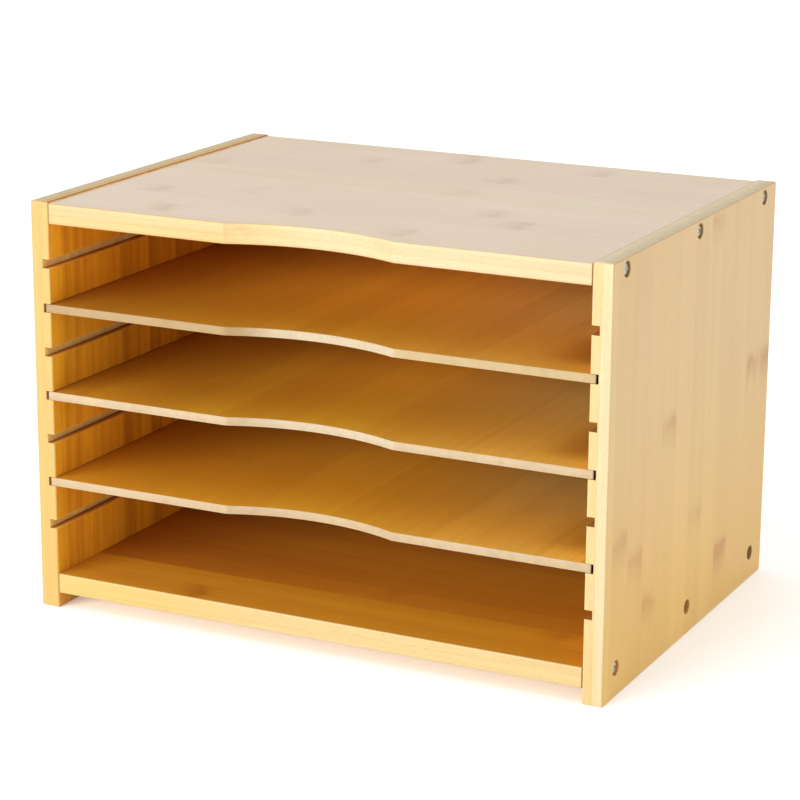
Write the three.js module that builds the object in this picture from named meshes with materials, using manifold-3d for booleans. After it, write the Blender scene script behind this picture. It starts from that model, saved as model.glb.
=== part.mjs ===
// Desktop file sorter: a bamboo case with three thin shelves that slide in grooves in its
// sides. The grooves give each shelf a choice of seven heights.
// Units are millimetres. +X is right, +Y is back and +Z is up. The origin is on the desk, in
// the middle of the footprint, and the open front faces -Y.
import * as THREE from "three";
import { mergeVertices, toCreasedNormals } from "three/addons/utils/BufferGeometryUtils.js";
import Module from "manifold-3d";

const wasm = await Module();
wasm.setup();

// Case.
const WIDTH = 330;
const DEPTH = 238;
const HEIGHT = 225;
const BOARD = 11; // thickness of the sides, the top and the bottom
const TOP_RECESS = 0.8; // the sides stand this much above the top panel
const FOOT_HEIGHT = 8.5; // the sides stand this much below the bottom panel
const EASE = 0.8; // radius of the softened edges
const EASE_STEPS = 3;
const CORNER_RADIUS = 1.2; // corners of a side, seen from the side
const CORNER_STEPS = 3;
const BUTT_GAP = 0.1; // between a side and the board that butts against it

// Finger scoop in the front edge of the top panel and of each shelf.
const SCOOP_HALF_CHORD = 48;
const SCOOP_DEPTH = 10;
const SCOOP_STEPS = 24;
const SCOOP_LEAD_RADIUS = 6; // softens the two ends of the scoop
const SCOOP_LEAD_STEPS = 3;

// Shelf grooves in the sides.
const GROOVE_COUNT = 7;
const LOWEST_GROOVE = 45.2; // floor of the lowest groove
const GROOVE_PITCH = 24;
const GROOVE_HEIGHT = 4.9;
const GROOVE_DEPTH = 4.5;

// Shelves.
const SHELF_THICKNESS = 4.6;
const SHELF_EASE = 0.4;
const SHELF_END_PLAY = 1.3; // between a shelf's end and the back of its groove
const SHELF_LIFT = 0.1; // between a shelf and the floor of its groove
const SHELF_BACK_PLAY = 1; // between a shelf and the back panel
const SHELF_GROOVES = { shelf_lower: 1, shelf_middle: 3, shelf_upper: 5 }; // counted from 0, lowest first

// Back panel, held in a groove in all four boards of the case.
const BACK_THICKNESS = 4;
const BACK_INSET = 6; // behind the back panel, to the rear edges of the case
const BACK_GROOVE_DEPTH = 4.5;
const BACK_TONGUE = 4; // how far the back panel reaches into its groove
const BACK_PLAY = 0.2; // on each face of the back panel, in its groove

// Screws: three through each side into the end of the top panel, and three into the bottom.
const SCREW_FROM_FRONT = [17, 118, 219];
const SCREW_RISE = { lower: 1.6, upper: 0.5 }; // above the middle of the board that they hold
const SCREW_LENGTH = 35;
const SCREW_SHANK_RADIUS = 2;
const SCREW_TIP = 5;
const SCREW_HEAD_RADIUS = 3.5;
const SCREW_HEAD_HEIGHT = 2.6;
const SCREW_HEAD_RIM = 1.1;
const SCREW_DOME_STEPS = 4;
const SCREW_SIDES = 20;
const SCREW_GAP = 0.3; // around the shank and under the head
const CROSS_WIDTH = 0.9;
const CROSS_LENGTH = 4.2;
const CROSS_DEPTH = 1.5;
const COUNTERBORE_RADIUS = 4;
const HEAD_DEPTH = 0.3; // from the side's outer face down to the top of the head
// Two of the lower right screws are driven deeper. From front to back:
const LOWER_RIGHT_HEAD_DEPTHS = [HEAD_DEPTH, 4.5, 2];
const PILOT_SPARE = 0.5; // pilot hole left beyond the tip of the deepest screw

// A cutter starts this far outside the piece that it cuts.
const OVERSHOOT = 2;

const INNER_WIDTH = WIDTH - 2 * BOARD;
const TOP_UNDERSIDE = HEIGHT - TOP_RECESS - BOARD;
const FLOOR_LEVEL = FOOT_HEIGHT + BOARD;
const FRONT = -DEPTH / 2;
const BACK = DEPTH / 2;
const BACK_PANEL_FRONT = BACK - BACK_INSET - BACK_THICKNESS;
const BACK_GROOVE_SPAN = [BACK_PANEL_FRONT - BACK_PLAY, BACK_PANEL_FRONT + BACK_THICKNESS + BACK_PLAY];

// ---- Solids ----

// A manifold-3d solid from a closed three.js geometry.
function solid(geometry) {
  geometry.deleteAttribute("normal");
  geometry.deleteAttribute("uv");
  const merged = mergeVertices(geometry);
  return new wasm.Manifold(
    new wasm.Mesh({
      numProp: 3,
      vertProperties: merged.attributes.position.array,
      triVerts: new Uint32Array(merged.index.array),
    }),
  );
}

// The three.js geometry of a solid, shaded smooth except across its sharp edges.
function geometryOf(shape) {
  const mesh = shape.getMesh();
  const geometry = new THREE.BufferGeometry();
  geometry.setAttribute("position", new THREE.BufferAttribute(mesh.vertProperties, 3));
  geometry.setIndex(new THREE.BufferAttribute(mesh.triVerts, 1));
  return toCreasedNormals(geometry, THREE.MathUtils.degToRad(35));
}

// A rectangular block between two limits on each axis.
function block([x0, x1], [y0, y1], [z0, z1]) {
  const box = new THREE.BoxGeometry(Math.abs(x1 - x0), y1 - y0, z1 - z0);
  return solid(box.translate((x0 + x1) / 2, (y0 + y1) / 2, (z0 + z1) / 2));
}

// A round bar along X, to drill with.
function bar(radius, [x0, x1], y, z) {
  const cylinder = new THREE.CylinderGeometry(radius, radius, Math.abs(x1 - x0), SCREW_SIDES);
  return solid(cylinder.rotateZ(Math.PI / 2).translate((x0 + x1) / 2, y, z));
}

// ---- Outlines ----

// Points along an arc, both ends included.
function arc(x, y, radius, from, to, steps) {
  return Array.from({ length: steps + 1 }, (_, i) => {
    const angle = from + ((to - from) * i) / steps;
    return new THREE.Vector2(x + radius * Math.cos(angle), y + radius * Math.sin(angle));
  });
}

// A rectangle with round corners, counter-clockwise.
function roundedRectangle([x0, x1], [y0, y1], radius) {
  const quarter = Math.PI / 2;
  const corner = (x, y, start) => arc(x, y, radius, start * quarter, (start + 1) * quarter, CORNER_STEPS);
  return [
    ...corner(x1 - radius, y0 + radius, -1),
    ...corner(x1 - radius, y1 - radius, 0),
    ...corner(x0 + radius, y1 - radius, 1),
    ...corner(x0 + radius, y0 + radius, 2),
  ];
}

// The scoop in a front edge at y = front, from left to right. It is one shallow arc, with a
// small arc at each end that runs into the straight edge.
function scoop(front) {
  const radius = (SCOOP_HALF_CHORD ** 2 + SCOOP_DEPTH ** 2) / (2 * SCOOP_DEPTH);
  const centreY = front + SCOOP_DEPTH - radius;
  const leadY = front + SCOOP_LEAD_RADIUS;
  const leadX = Math.sqrt((radius + SCOOP_LEAD_RADIUS) ** 2 - (leadY - centreY) ** 2);
  const turn = Math.atan2(leadX, leadY - centreY);
  const down = -Math.PI / 2;
  const up = Math.PI / 2;
  return [
    ...arc(-leadX, leadY, SCOOP_LEAD_RADIUS, down, down + turn, SCOOP_LEAD_STEPS),
    ...arc(0, centreY, radius, up + turn, up - turn, SCOOP_STEPS).slice(1),
    ...arc(leadX, leadY, SCOOP_LEAD_RADIUS, down - turn, down, SCOOP_LEAD_STEPS).slice(1),
  ];
}

// A board's outline from above, with a scoop in its front edge.
function scoopedOutline(width, front, back) {
  const half = width / 2;
  return [
    new THREE.Vector2(-half, front),
    ...scoop(front),
    new THREE.Vector2(half, front),
    new THREE.Vector2(half, back),
    new THREE.Vector2(-half, back),
  ];
}

// ---- Boards ----

// A flat board of the given outline, from z = 0 up, with its edges rounded by `ease`.
function board(outline, thickness, ease, steps) {
  const extruded = new THREE.ExtrudeGeometry(new THREE.Shape(outline), {
    depth: thickness - 2 * ease,
    bevelThickness: ease,
    bevelSize: ease,
    bevelOffset: -ease,
    bevelSegments: steps,
  });
  return extruded.translate(0, 0, ease);
}

// A board that butts against both sides of the case, so that its ends are square and flat.
function buttedBoard(outlineOf) {
  const length = INNER_WIDTH - 2 * BUTT_GAP;
  const long = solid(board(outlineOf(length + 4 * EASE), BOARD, EASE, EASE_STEPS));
  const ends = block([-length / 2, length / 2], [2 * FRONT, 2 * BACK], [-OVERSHOOT, BOARD + OVERSHOOT]);
  return long.intersect(ends);
}

// The groove for the back panel in a horizontal board, between two heights.
function backGroove(z) {
  return block([-WIDTH / 2, WIDTH / 2], BACK_GROOVE_SPAN, z);
}

// The pilot holes for one row of screws, in both ends of the board that the row holds.
function pilotHoles(row) {
  const mouth = INNER_WIDTH / 2 + OVERSHOOT;
  const end = WIDTH / 2 - Math.max(...LOWER_RIGHT_HEAD_DEPTHS) - SCREW_LENGTH - PILOT_SPARE;
  const z = BOARD / 2 + SCREW_RISE[row];
  return [-1, 1].flatMap((side) =>
    SCREW_FROM_FRONT.map((y) =>
      bar(SCREW_SHANK_RADIUS + SCREW_GAP, [side * mouth, side * end], FRONT + y, z),
    ),
  );
}

function topPanel() {
  const plain = buttedBoard((width) => scoopedOutline(width, FRONT, BACK));
  const groove = backGroove([-OVERSHOOT, BACK_GROOVE_DEPTH]);
  return wasm.Manifold.difference([plain, groove, ...pilotHoles("upper")]);
}

function bottomPanel() {
  const outline = (width) => [
    new THREE.Vector2(-width / 2, FRONT),
    new THREE.Vector2(width / 2, FRONT),
    new THREE.Vector2(width / 2, BACK),
    new THREE.Vector2(-width / 2, BACK),
  ];
  const groove = backGroove([BOARD - BACK_GROOVE_DEPTH, BOARD + OVERSHOOT]);
  return wasm.Manifold.difference([buttedBoard(outline), groove, ...pilotHoles("lower")]);
}

function shelf() {
  const width = INNER_WIDTH + 2 * (GROOVE_DEPTH - SHELF_END_PLAY);
  const outline = scoopedOutline(width, FRONT, BACK_PANEL_FRONT - SHELF_BACK_PLAY);
  return solid(board(outline, SHELF_THICKNESS, SHELF_EASE, 1));
}

function backPanel() {
  const half = INNER_WIDTH / 2 + BACK_TONGUE;
  const height = [FLOOR_LEVEL - BACK_TONGUE, TOP_UNDERSIDE + BACK_TONGUE];
  return block([-half, half], [0, BACK_THICKNESS], height);
}

// ---- Sides ----

// How far a screw's head is sunk below the outer face of its side.
function headDepth(side, row, index) {
  return side > 0 && row === "lower" ? LOWER_RIGHT_HEAD_DEPTHS[index] : HEAD_DEPTH;
}

// Each screw's place: its side, its row, its number from the front, and its axis.
const screwPlaces = [-1, 1].flatMap((side) =>
  ["lower", "upper"].flatMap((row) =>
    SCREW_FROM_FRONT.map((fromFront, index) => ({
      side,
      row,
      index,
      y: FRONT + fromFront,
      z: (row === "lower" ? FOOT_HEIGHT : TOP_UNDERSIDE) + BOARD / 2 + SCREW_RISE[row],
      headDepth: headDepth(side, row, index),
    })),
  ),
);

// The groove that a shelf runs in, cut into the inner face, which is at x = inner.
function shelfGroove(inner, side, index) {
  const floor = LOWEST_GROOVE + index * GROOVE_PITCH;
  return block(
    [inner - side * OVERSHOOT, inner + side * GROOVE_DEPTH],
    [FRONT - OVERSHOOT, BACK + OVERSHOOT],
    [floor, floor + GROOVE_HEIGHT],
  );
}

// A screw's clearance hole and the counterbore for its head. The outer face is at x = outer.
function screwHole(outer, { side, y, z, headDepth }) {
  const seat = headDepth + SCREW_HEAD_HEIGHT + SCREW_GAP;
  const through = [outer + side * OVERSHOOT, outer - side * (BOARD + OVERSHOOT)];
  return wasm.Manifold.union([
    bar(SCREW_SHANK_RADIUS + SCREW_GAP, through, y, z),
    bar(COUNTERBORE_RADIUS, [outer + side * OVERSHOOT, outer - side * seat], y, z),
  ]);
}

// A side, with x = 0 in the middle of its thickness. `side` is 1 on the right, -1 on the left.
function sidePanel(side) {
  const outer = (side * BOARD) / 2;
  const inner = -outer;
  const outline = roundedRectangle([FRONT, BACK], [0, HEIGHT], CORNER_RADIUS);
  const upright = board(outline, BOARD, EASE, EASE_STEPS).translate(0, 0, -BOARD / 2);
  upright.rotateX(Math.PI / 2).rotateZ(Math.PI / 2);
  const grooves = Array.from({ length: GROOVE_COUNT }, (_, i) => shelfGroove(inner, side, i));
  const backSlot = block(
    [inner - side * OVERSHOOT, inner + side * BACK_GROOVE_DEPTH],
    BACK_GROOVE_SPAN,
    [FLOOR_LEVEL - BACK_GROOVE_DEPTH, TOP_UNDERSIDE + BACK_GROOVE_DEPTH],
  );
  const holes = screwPlaces.filter((place) => place.side === side).map((place) => screwHole(outer, place));
  return wasm.Manifold.difference([solid(upright), ...grooves, backSlot, ...holes]);
}

// ---- Screws ----

// A pan-head wood screw that points down, with the top of its head at z = 0.
function screw() {
  const dome = Array.from({ length: SCREW_DOME_STEPS + 1 }, (_, i) => {
    const angle = (Math.PI / 2) * (i / SCREW_DOME_STEPS);
    const rise = (SCREW_HEAD_HEIGHT - SCREW_HEAD_RIM) * (1 - Math.sin(angle));
    return new THREE.Vector2(i < SCREW_DOME_STEPS ? SCREW_HEAD_RADIUS * Math.cos(angle) : 0, -rise);
  });
  const profile = [
    new THREE.Vector2(0, -SCREW_LENGTH),
    new THREE.Vector2(SCREW_SHANK_RADIUS, SCREW_TIP - SCREW_LENGTH),
    new THREE.Vector2(SCREW_SHANK_RADIUS, -SCREW_HEAD_HEIGHT),
    new THREE.Vector2(SCREW_HEAD_RADIUS, -SCREW_HEAD_HEIGHT),
    ...dome,
  ];
  const turned = solid(new THREE.LatheGeometry(profile, SCREW_SIDES).rotateX(Math.PI / 2));
  const long = [-CROSS_LENGTH / 2, CROSS_LENGTH / 2];
  const narrow = [-CROSS_WIDTH / 2, CROSS_WIDTH / 2];
  const deep = [-CROSS_DEPTH, OVERSHOOT];
  return wasm.Manifold.difference([turned, block(long, narrow, deep), block(narrow, long, deep)]);
}

// ---- Materials ----

const bamboo = () => new THREE.MeshStandardMaterial({ color: 0xe2c08e, roughness: 0.45, metalness: 0 });
const shelfBoard = () => new THREE.MeshStandardMaterial({ color: 0xd9a868, roughness: 0.5, metalness: 0 });
const backBoard = () => new THREE.MeshStandardMaterial({ color: 0xc99a5e, roughness: 0.55, metalness: 0 });
const zincPlate = () => new THREE.MeshStandardMaterial({ color: 0xbfbcb6, roughness: 0.3, metalness: 1 });

// ---- Assembly ----

const sorter = new THREE.Group();
sorter.name = "desktop_file_sorter";

// Adds one named piece, with its own origin at the place given.
function addPiece(name, shape, material, x, y, z) {
  const piece = new THREE.Mesh(geometryOf(shape), material);
  piece.name = name;
  piece.position.set(x, y, z);
  sorter.add(piece);
  return piece;
}

const sideOffset = (WIDTH - BOARD) / 2;
addPiece("left_side_panel", sidePanel(-1), bamboo(), -sideOffset, 0, 0);
addPiece("right_side_panel", sidePanel(1), bamboo(), sideOffset, 0, 0);
addPiece("top_panel", topPanel(), bamboo(), 0, 0, TOP_UNDERSIDE);
addPiece("bottom_panel", bottomPanel(), bamboo(), 0, 0, FOOT_HEIGHT);
addPiece("back_panel", backPanel(), backBoard(), 0, BACK_PANEL_FRONT, 0);

for (const [name, groove] of Object.entries(SHELF_GROOVES)) {
  const underside = LOWEST_GROOVE + groove * GROOVE_PITCH + SHELF_LIFT;
  addPiece(name, shelf(), shelfBoard(), 0, 0, underside);
}

const SIDE_NAMES = { "-1": "left", 1: "right" };
const INDEX_NAMES = ["front", "middle", "rear"];
for (const { side, row, index, y, z, headDepth: depth } of screwPlaces) {
  const name = `screw_${SIDE_NAMES[side]}_${row}_${INDEX_NAMES[index]}`;
  const piece = addPiece(name, screw(), zincPlate(), side * (WIDTH / 2 - depth), y, z);
  piece.rotation.y = (side * Math.PI) / 2;
}

export default sorter;
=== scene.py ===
"""Desktop file sorter: a bamboo case with three thin shelves that slide in grooves in its sides.

Everything is in metres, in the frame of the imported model: +X is right, +Y is back, +Z is up,
and the open front faces -Y. Each board and screw is made here in full and stands for its plain
counterpart in the frame, whose box gives its size and place.
"""

import math

import bmesh
import bpy
from mathutils import Matrix, Vector


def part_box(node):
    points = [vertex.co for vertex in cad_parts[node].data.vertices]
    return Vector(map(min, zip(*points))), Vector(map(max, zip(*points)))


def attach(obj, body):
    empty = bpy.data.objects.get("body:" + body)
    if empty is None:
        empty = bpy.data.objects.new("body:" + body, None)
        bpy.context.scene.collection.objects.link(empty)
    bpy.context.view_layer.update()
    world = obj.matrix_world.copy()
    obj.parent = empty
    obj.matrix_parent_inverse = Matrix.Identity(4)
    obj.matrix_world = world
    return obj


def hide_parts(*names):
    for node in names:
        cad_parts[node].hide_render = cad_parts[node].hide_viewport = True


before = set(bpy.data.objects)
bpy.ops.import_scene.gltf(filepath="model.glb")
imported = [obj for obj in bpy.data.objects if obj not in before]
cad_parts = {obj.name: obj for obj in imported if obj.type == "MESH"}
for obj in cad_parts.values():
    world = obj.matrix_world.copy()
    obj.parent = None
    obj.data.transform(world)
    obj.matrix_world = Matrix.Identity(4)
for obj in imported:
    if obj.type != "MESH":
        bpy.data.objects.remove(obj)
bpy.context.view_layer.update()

# ---- Sizes that the boxes don't give ----

EASE = 0.0008  # radius of the case boards' softened edges
EASE_STEPS = 6
CORNER_RADIUS = 0.0012  # corners of a side, seen from the side
CORNER_STEPS = 8
END_WASTE = 4 * EASE  # what is cut off each end of the top and bottom boards

SCOOP_HALF_CHORD = 0.048
SCOOP_DEPTH = 0.010
SCOOP_STEPS = 60
SCOOP_LEAD_RADIUS = 0.006  # softens the two ends of a scoop
SCOOP_LEAD_STEPS = 6

GROOVE_COUNT = 7
GROOVE_PITCH = 0.024
GROOVE_HEIGHT = 0.0049
GROOVE_DEPTH = 0.0045
SHELF_LIFT = 0.0001  # between a shelf and the floor of its groove
LOWEST_SHELF_GROOVE = 1  # the lowest shelf's groove, counted from 0
SHELF_NODES = ("shelf_lower", "shelf_middle", "shelf_upper")
MOUTH_EASE = 0.00025  # softens the mouths of grooves and holes
MOUTH_STEPS = 3

SHELF_EASE = 0.0004
SHELF_EASE_STEPS = 4
SHELF_CORNER = 0.0008
SHELF_CORNER_STEPS = 3

BACK_GROOVE_DEPTH = 0.0045
BACK_PLAY = 0.0002
BACK_EASE = 0.0003
BACK_EASE_STEPS = 3
BACK_GROOVE_REACH = 0.005  # the groove's faces lie no further than this from the back panel's front

SCREW_LENGTH = 0.035
SCREW_TIP = 0.005
SCREW_SIDES = 36
HEAD_RADIUS = 0.0035
HEAD_HEIGHT = 0.0026
HEAD_RIM = 0.0011
HEAD_STEPS = 10
THREAD_RADIUS = 0.002
THREAD_CORE = 0.0014
THREAD_PITCH = 0.0018
THREAD_ROWS = 8  # rings in one turn of thread
THREAD_SHARPNESS = 4  # 4 makes the tooth half a pitch wide at its foot
THREAD_POINT = 0.02  # the tip's radius as a part of the thread's
CROSS_LENGTH = 0.0042
CROSS_WIDTH = 0.0009
CROSS_DEPTH = 0.0015
CROSS_OVERSHOOT = 0.0002
CROSS_TAPER = (0.45, 0.6)  # length and width at the bottom of the cross, as parts of those on top
HEAD_BEVEL = 0.00015
HOLE_RADIUS = 0.0023
COUNTERBORE_RADIUS = 0.004
HEAD_CLEARANCE = 0.0003
FIRST_SCREW_TURN = 20  # in degrees, as is the turn from each screw to the next
SCREW_TURN = 47

OVERSHOOT = 0.002  # a cutter starts this far outside the piece that it cuts
HALF_TURN = math.pi
QUARTER_TURN = math.pi / 2

RIGHT_LOW, RIGHT_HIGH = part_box("right_side_panel")
TOP_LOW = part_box("top_panel")[0]
BOTTOM_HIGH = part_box("bottom_panel")[1]
BACK_LOW, BACK_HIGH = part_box("back_panel")
BACK_GROOVE = (BACK_LOW.y - BACK_PLAY, BACK_HIGH.y + BACK_PLAY)
OUTER = RIGHT_HIGH.x
INNER = RIGHT_LOW.x
BOARD = OUTER - INNER
FRONT = RIGHT_LOW.y
BACK = RIGHT_HIGH.y
FAR = 2 * BACK  # well past the object, for cutters
ALIGNED = 0.9  # a face whose normal has more than this along an axis faces that way
NEAR = 0.00001  # two places closer than this are the same place

# ---- Mesh building ----


def arc(x, y, radius, start, end, steps):
    """Points along an arc, both ends included."""
    angles = [start + (end - start) * i / steps for i in range(steps + 1)]
    return [Vector((x + radius * math.cos(a), y + radius * math.sin(a))) for a in angles]


def inset(outline, distance):
    """A counter-clockwise outline, moved inwards by that distance."""
    moved = []
    for i, point in enumerate(outline):
        before = (point - outline[i - 1]).normalized()
        after = (outline[(i + 1) % len(outline)] - point).normalized()
        inwards = Vector((-before.y - after.y, before.x + after.x))
        moved.append(point + inwards * distance / (1 + before.dot(after)))
    return moved


def loft(rings):
    """A closed shape through rings of points, with a flat cap at each end."""
    shape = bmesh.new()
    loops = [[shape.verts.new(point) for point in ring] for ring in rings]
    for lower, upper in zip(loops, loops[1:]):
        for i in range(len(lower)):
            shape.faces.new((lower[i - 1], lower[i], upper[i], upper[i - 1]))
    shape.faces.new(reversed(loops[0]))
    shape.faces.new(loops[-1])
    bmesh.ops.recalc_face_normals(shape, faces=shape.faces)
    return shape


def slab(outline, thickness, ease, steps, place):
    """A board of that outline with rounded edges. place(u, v, depth) gives a point in space."""
    angles = [QUARTER_TURN * i / steps for i in range(steps + 1)]
    levels = [(ease * (1 - math.sin(a)), ease * (1 - math.cos(a))) for a in angles]
    levels += [(inwards, thickness - depth) for inwards, depth in reversed(levels)]
    rings = []
    for inwards, depth in levels:
        rings.append([place(*point, depth) for point in inset(outline, inwards)])
    return loft(rings)


def prism(outline, start, end, place):
    """A straight bar with that outline, between two depths."""
    return loft([[place(*point, depth) for point in outline] for depth in (start, end)])


def turned(profile, place):
    """A round shape. The profile is a list of (radius, depth), and its two ends are closed flat."""
    rings = []
    for radius, depth in profile:
        circle = arc(0, 0, radius, 0, 2 * HALF_TURN, SCREW_SIDES)[:-1]
        rings.append([place(*point, depth) for point in circle])
    return loft(rings)


def rectangle(x0, x1, y0, y1):
    return [Vector(corner) for corner in ((x0, y0), (x1, y0), (x1, y1), (x0, y1))]


def rounded_rectangle(x0, x1, y0, y1, radius, steps):
    """A rectangle with round corners, counter-clockwise."""
    centres = [(x1, y0, -1), (x1, y1, 0), (x0, y1, 1), (x0, y0, 2)]
    outline = []
    for x, y, quarter in centres:
        centre_x = x - math.copysign(radius, x - (x0 + x1) / 2)
        centre_y = y - math.copysign(radius, y - (y0 + y1) / 2)
        start = quarter * QUARTER_TURN
        outline += arc(centre_x, centre_y, radius, start, start + QUARTER_TURN, steps)
    return outline


def block(low, high):
    """A plain box between two corners, to cut with."""
    base = rectangle(low[0], high[0], low[1], high[1])
    return prism(base, low[2], high[2], lambda *corner: Vector(corner))


def link(name, data):
    """A new object in the scene, which shows that mesh, light or camera."""
    thing = bpy.data.objects.new(name, data)
    bpy.context.scene.collection.objects.link(thing)
    return thing


def add_object(name, shape):
    mesh = bpy.data.meshes.new(name)
    shape.to_mesh(mesh)
    shape.free()
    return link(name, mesh)


def carve(piece, cutters):
    """Cuts each of those closed shapes out of the piece."""
    tools = [add_object("cutter", cutter) for cutter in cutters]
    for tool in tools:
        cut = piece.modifiers.new("cut", "BOOLEAN")
        cut.operation = "DIFFERENCE"
        cut.solver = "EXACT"
        cut.object = tool
    bpy.context.view_layer.update()
    uncut = piece.data
    depsgraph = bpy.context.evaluated_depsgraph_get()
    piece.data = bpy.data.meshes.new_from_object(piece.evaluated_get(depsgraph))
    piece.modifiers.clear()
    bpy.data.meshes.remove(uncut)
    for tool in tools:
        bpy.data.meshes.remove(tool.data)


def finish_piece(piece, node, body, materials, choose=lambda face: 0, sharp=35):
    """Shades a piece, gives each face its material, and ties the piece to the frame. Edges that
    turn by more than sharp, in degrees, stay sharp."""
    mesh = piece.data
    for material in materials:
        mesh.materials.append(material)
    for face in mesh.polygons:
        face.material_index = choose(face)
    mesh.shade_smooth()
    mesh.set_sharp_from_angle(angle=math.radians(sharp))
    normals = piece.modifiers.new("flat faces stay flat", "WEIGHTED_NORMAL")
    normals.keep_sharp = True
    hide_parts(node)
    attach(piece, body)


# ---- Outlines and cutters of this object ----


def scoop(front):
    """The finger scoop in a front edge, from left to right: one shallow arc with softened ends."""
    radius = (SCOOP_HALF_CHORD**2 + SCOOP_DEPTH**2) / (2 * SCOOP_DEPTH)
    centre_y = front + SCOOP_DEPTH - radius
    lead_y = front + SCOOP_LEAD_RADIUS
    lead_x = math.sqrt((radius + SCOOP_LEAD_RADIUS) ** 2 - (lead_y - centre_y) ** 2)
    turn = math.atan2(lead_x, lead_y - centre_y)
    down, up = -QUARTER_TURN, QUARTER_TURN
    left = arc(-lead_x, lead_y, SCOOP_LEAD_RADIUS, down, down + turn, SCOOP_LEAD_STEPS)
    middle = arc(0, centre_y, radius, up + turn, up - turn, SCOOP_STEPS)
    right = arc(lead_x, lead_y, SCOOP_LEAD_RADIUS, down - turn, down, SCOOP_LEAD_STEPS)
    return left + middle[1:] + right[1:]


def groove_profile(floor, ceiling, depth):
    """A groove's section as (distance into the board, height), with a softened mouth."""
    ease = MOUTH_EASE
    lower = arc(ease, floor - ease, ease, HALF_TURN, QUARTER_TURN, MOUTH_STEPS)
    upper = arc(ease, ceiling + ease, ease, -QUARTER_TURN, -HALF_TURN, MOUTH_STEPS)
    outside = [Vector((-OVERSHOOT, ceiling + ease)), Vector((-OVERSHOOT, floor - ease))]
    return lower + [Vector((depth, floor)), Vector((depth, ceiling))] + upper + outside


def shelf_groove(side, floor):
    """The groove that a shelf runs in, across the inner face of a side."""
    section = groove_profile(floor, floor + GROOVE_HEIGHT, GROOVE_DEPTH)
    start, end = FRONT - OVERSHOOT, BACK + OVERSHOOT
    return prism(section, start, end, lambda d, z, y: Vector((side * (INNER + d), y, z)))


def side_back_groove(side):
    """The back panel's groove in the inner face of a side."""
    section = groove_profile(*BACK_GROOVE, BACK_GROOVE_DEPTH)
    low = BOTTOM_HIGH.z - BACK_GROOVE_DEPTH
    high = TOP_LOW.z + BACK_GROOVE_DEPTH
    return prism(section, low, high, lambda d, y, z: Vector((side * (INNER + d), y, z)))


def board_back_groove(face, direction):
    """The back panel's groove in the top or bottom board, cut from the face at that height."""
    section = groove_profile(*BACK_GROOVE, BACK_GROOVE_DEPTH)
    return prism(section, -OUTER, OUTER, lambda d, y, x: Vector((x, y, face + direction * d)))


def screw_axis(node):
    """A screw's side, the place of the top of its head, and its axis, from the frame's box."""
    low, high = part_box(node)
    side = 1 if low.x > 0 else -1
    head_x = high.x if side > 0 else -low.x
    return side, head_x, (low.y + high.y) / 2, (low.z + high.z) / 2


def screw_nodes(side=None, row=None):
    """The names of the screws, all of them or those of one side or row."""
    return [
        f"screw_{s}_{r}_{place}"
        for s in ("left", "right")
        for r in ("lower", "upper")
        for place in ("front", "middle", "rear")
        if side in (None, s) and row in (None, r)
    ]


def screw_hole(node):
    """The clearance hole and the counterbore for one screw's head, with a softened rim."""
    side, head_x, y, z = screw_axis(node)
    seat = OUTER - head_x + HEAD_HEIGHT + HEAD_CLEARANCE
    mouth = COUNTERBORE_RADIUS + MOUTH_EASE
    rim = arc(mouth, MOUTH_EASE, MOUTH_EASE, -QUARTER_TURN, -HALF_TURN, MOUTH_STEPS)
    profile = [(mouth, -OVERSHOOT)]
    profile += [tuple(point) for point in rim]
    profile += [(COUNTERBORE_RADIUS, seat), (HOLE_RADIUS, seat), (HOLE_RADIUS, BOARD + OVERSHOOT)]
    return turned(profile, lambda u, v, d: Vector((side * (OUTER - d), y + u, z + v)))


def pilot_hole(node):
    """The hole for one screw in the end of the top or bottom board."""
    side, head_x, y, z = screw_axis(node)
    tip = head_x - SCREW_LENGTH - HEAD_CLEARANCE
    profile = [(HOLE_RADIUS, INNER + OVERSHOOT), (HOLE_RADIUS, tip)]
    return turned(profile, lambda u, v, d: Vector((side * d, y + u, z + v)))


# ---- Materials ----

SHADE_POWERS = (0.8, 1.15, 1.7)  # how fast red, green and blue follow a change of brightness


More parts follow.
